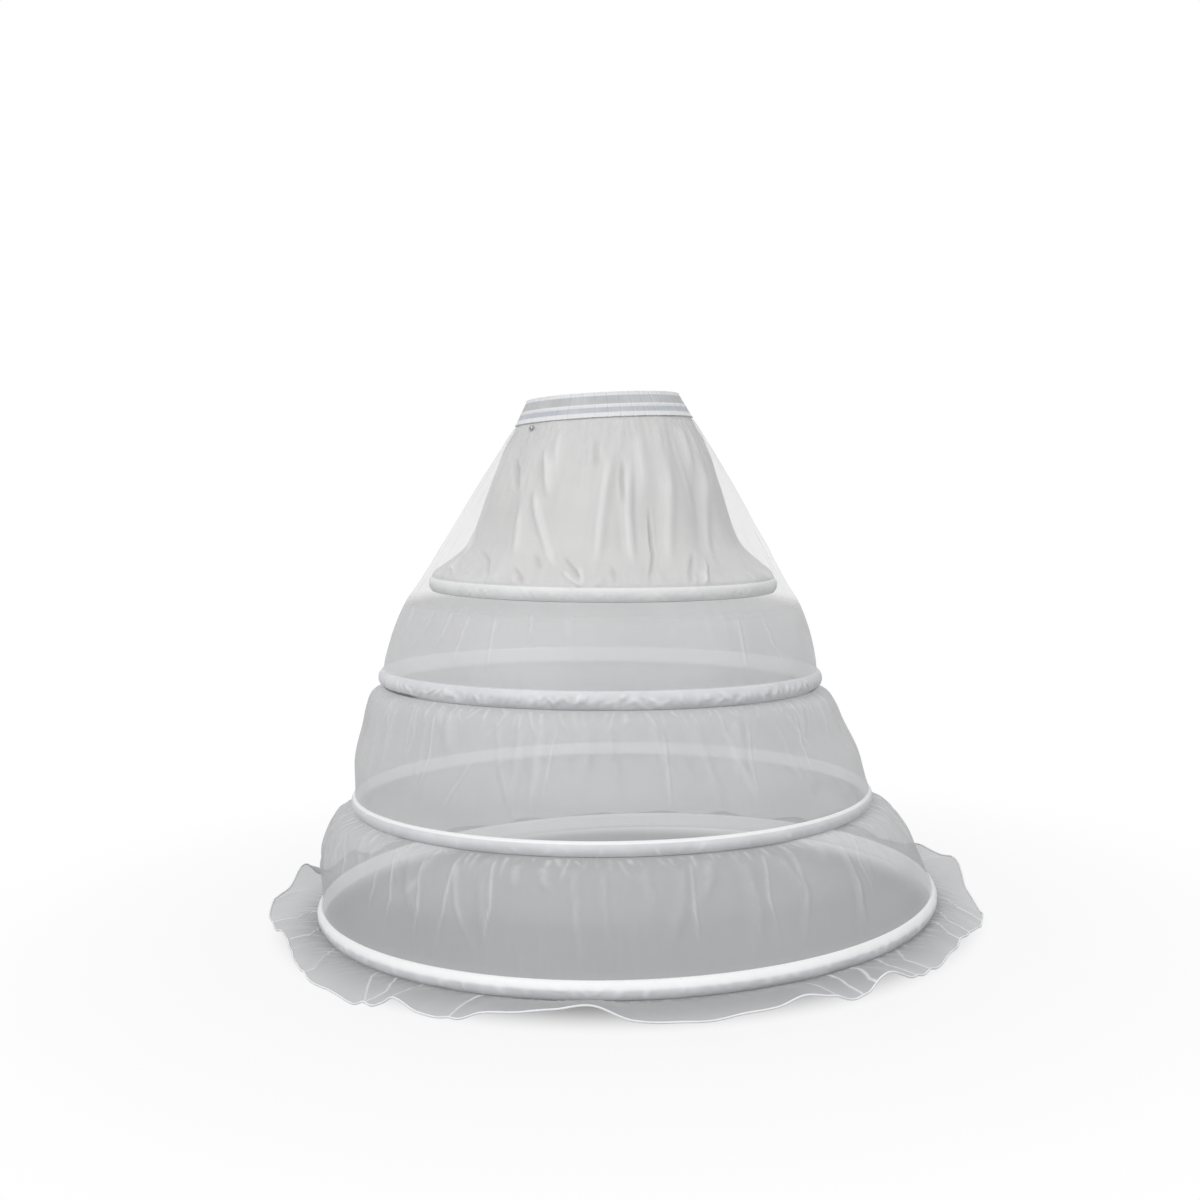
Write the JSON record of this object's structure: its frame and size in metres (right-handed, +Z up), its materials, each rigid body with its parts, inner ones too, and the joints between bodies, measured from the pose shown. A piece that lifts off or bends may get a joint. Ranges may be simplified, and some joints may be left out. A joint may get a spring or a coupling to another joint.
{
  "type": "crinoline cage",
  "caption": "White crinoline cage petticoat with an elastic waistband, satin yoke, sheer tiers held out by steel hoops, and a gathered hem ruffle.",
  "frame": {"origin": "centre of the waist opening, at the waistband's top edge", "axes": "+Z up through the waist opening, front of the skirt towards -Y, +X to the right seen from the front"},
  "size_m": [1.1142, 1.1141, 0.8136],
  "materials": {
    "band_satin": "soft satin band with two grey stripes",
    "elastic": "matte woven elastic",
    "satin": "satin",
    "sheer": "sheer net, see-through",
    "ruffle_sheer": "stiff sheer net with a rolled hem",
    "tape": "soft satin tape",
    "spring_steel": "flat spring steel",
    "sleeve_steel": "crimped sheet steel",
    "stud_metal": "polished"
  },
  "bodies": {
    "root": {"waistband": "band_satin", "waist_elastic": "elastic", "satin_yoke": "satin", "upper_sheer": "sheer", "middle_sheer": "sheer", "lower_sheer": "sheer", "yoke_casing": "tape", "upper_casing": "tape", "middle_casing": "tape", "hem_casing": "tape", "yoke_hoop": "spring_steel", "upper_hoop": "spring_steel", "middle_hoop": "spring_steel", "hem_hoop": "spring_steel", "yoke_joiner": "sleeve_steel", "upper_joiner": "sleeve_steel", "middle_joiner": "sleeve_steel", "hem_joiner": "sleeve_steel", "hem_ruffle": "ruffle_sheer", "waist_stud": "stud_metal"}
  },
  "joints": []
}
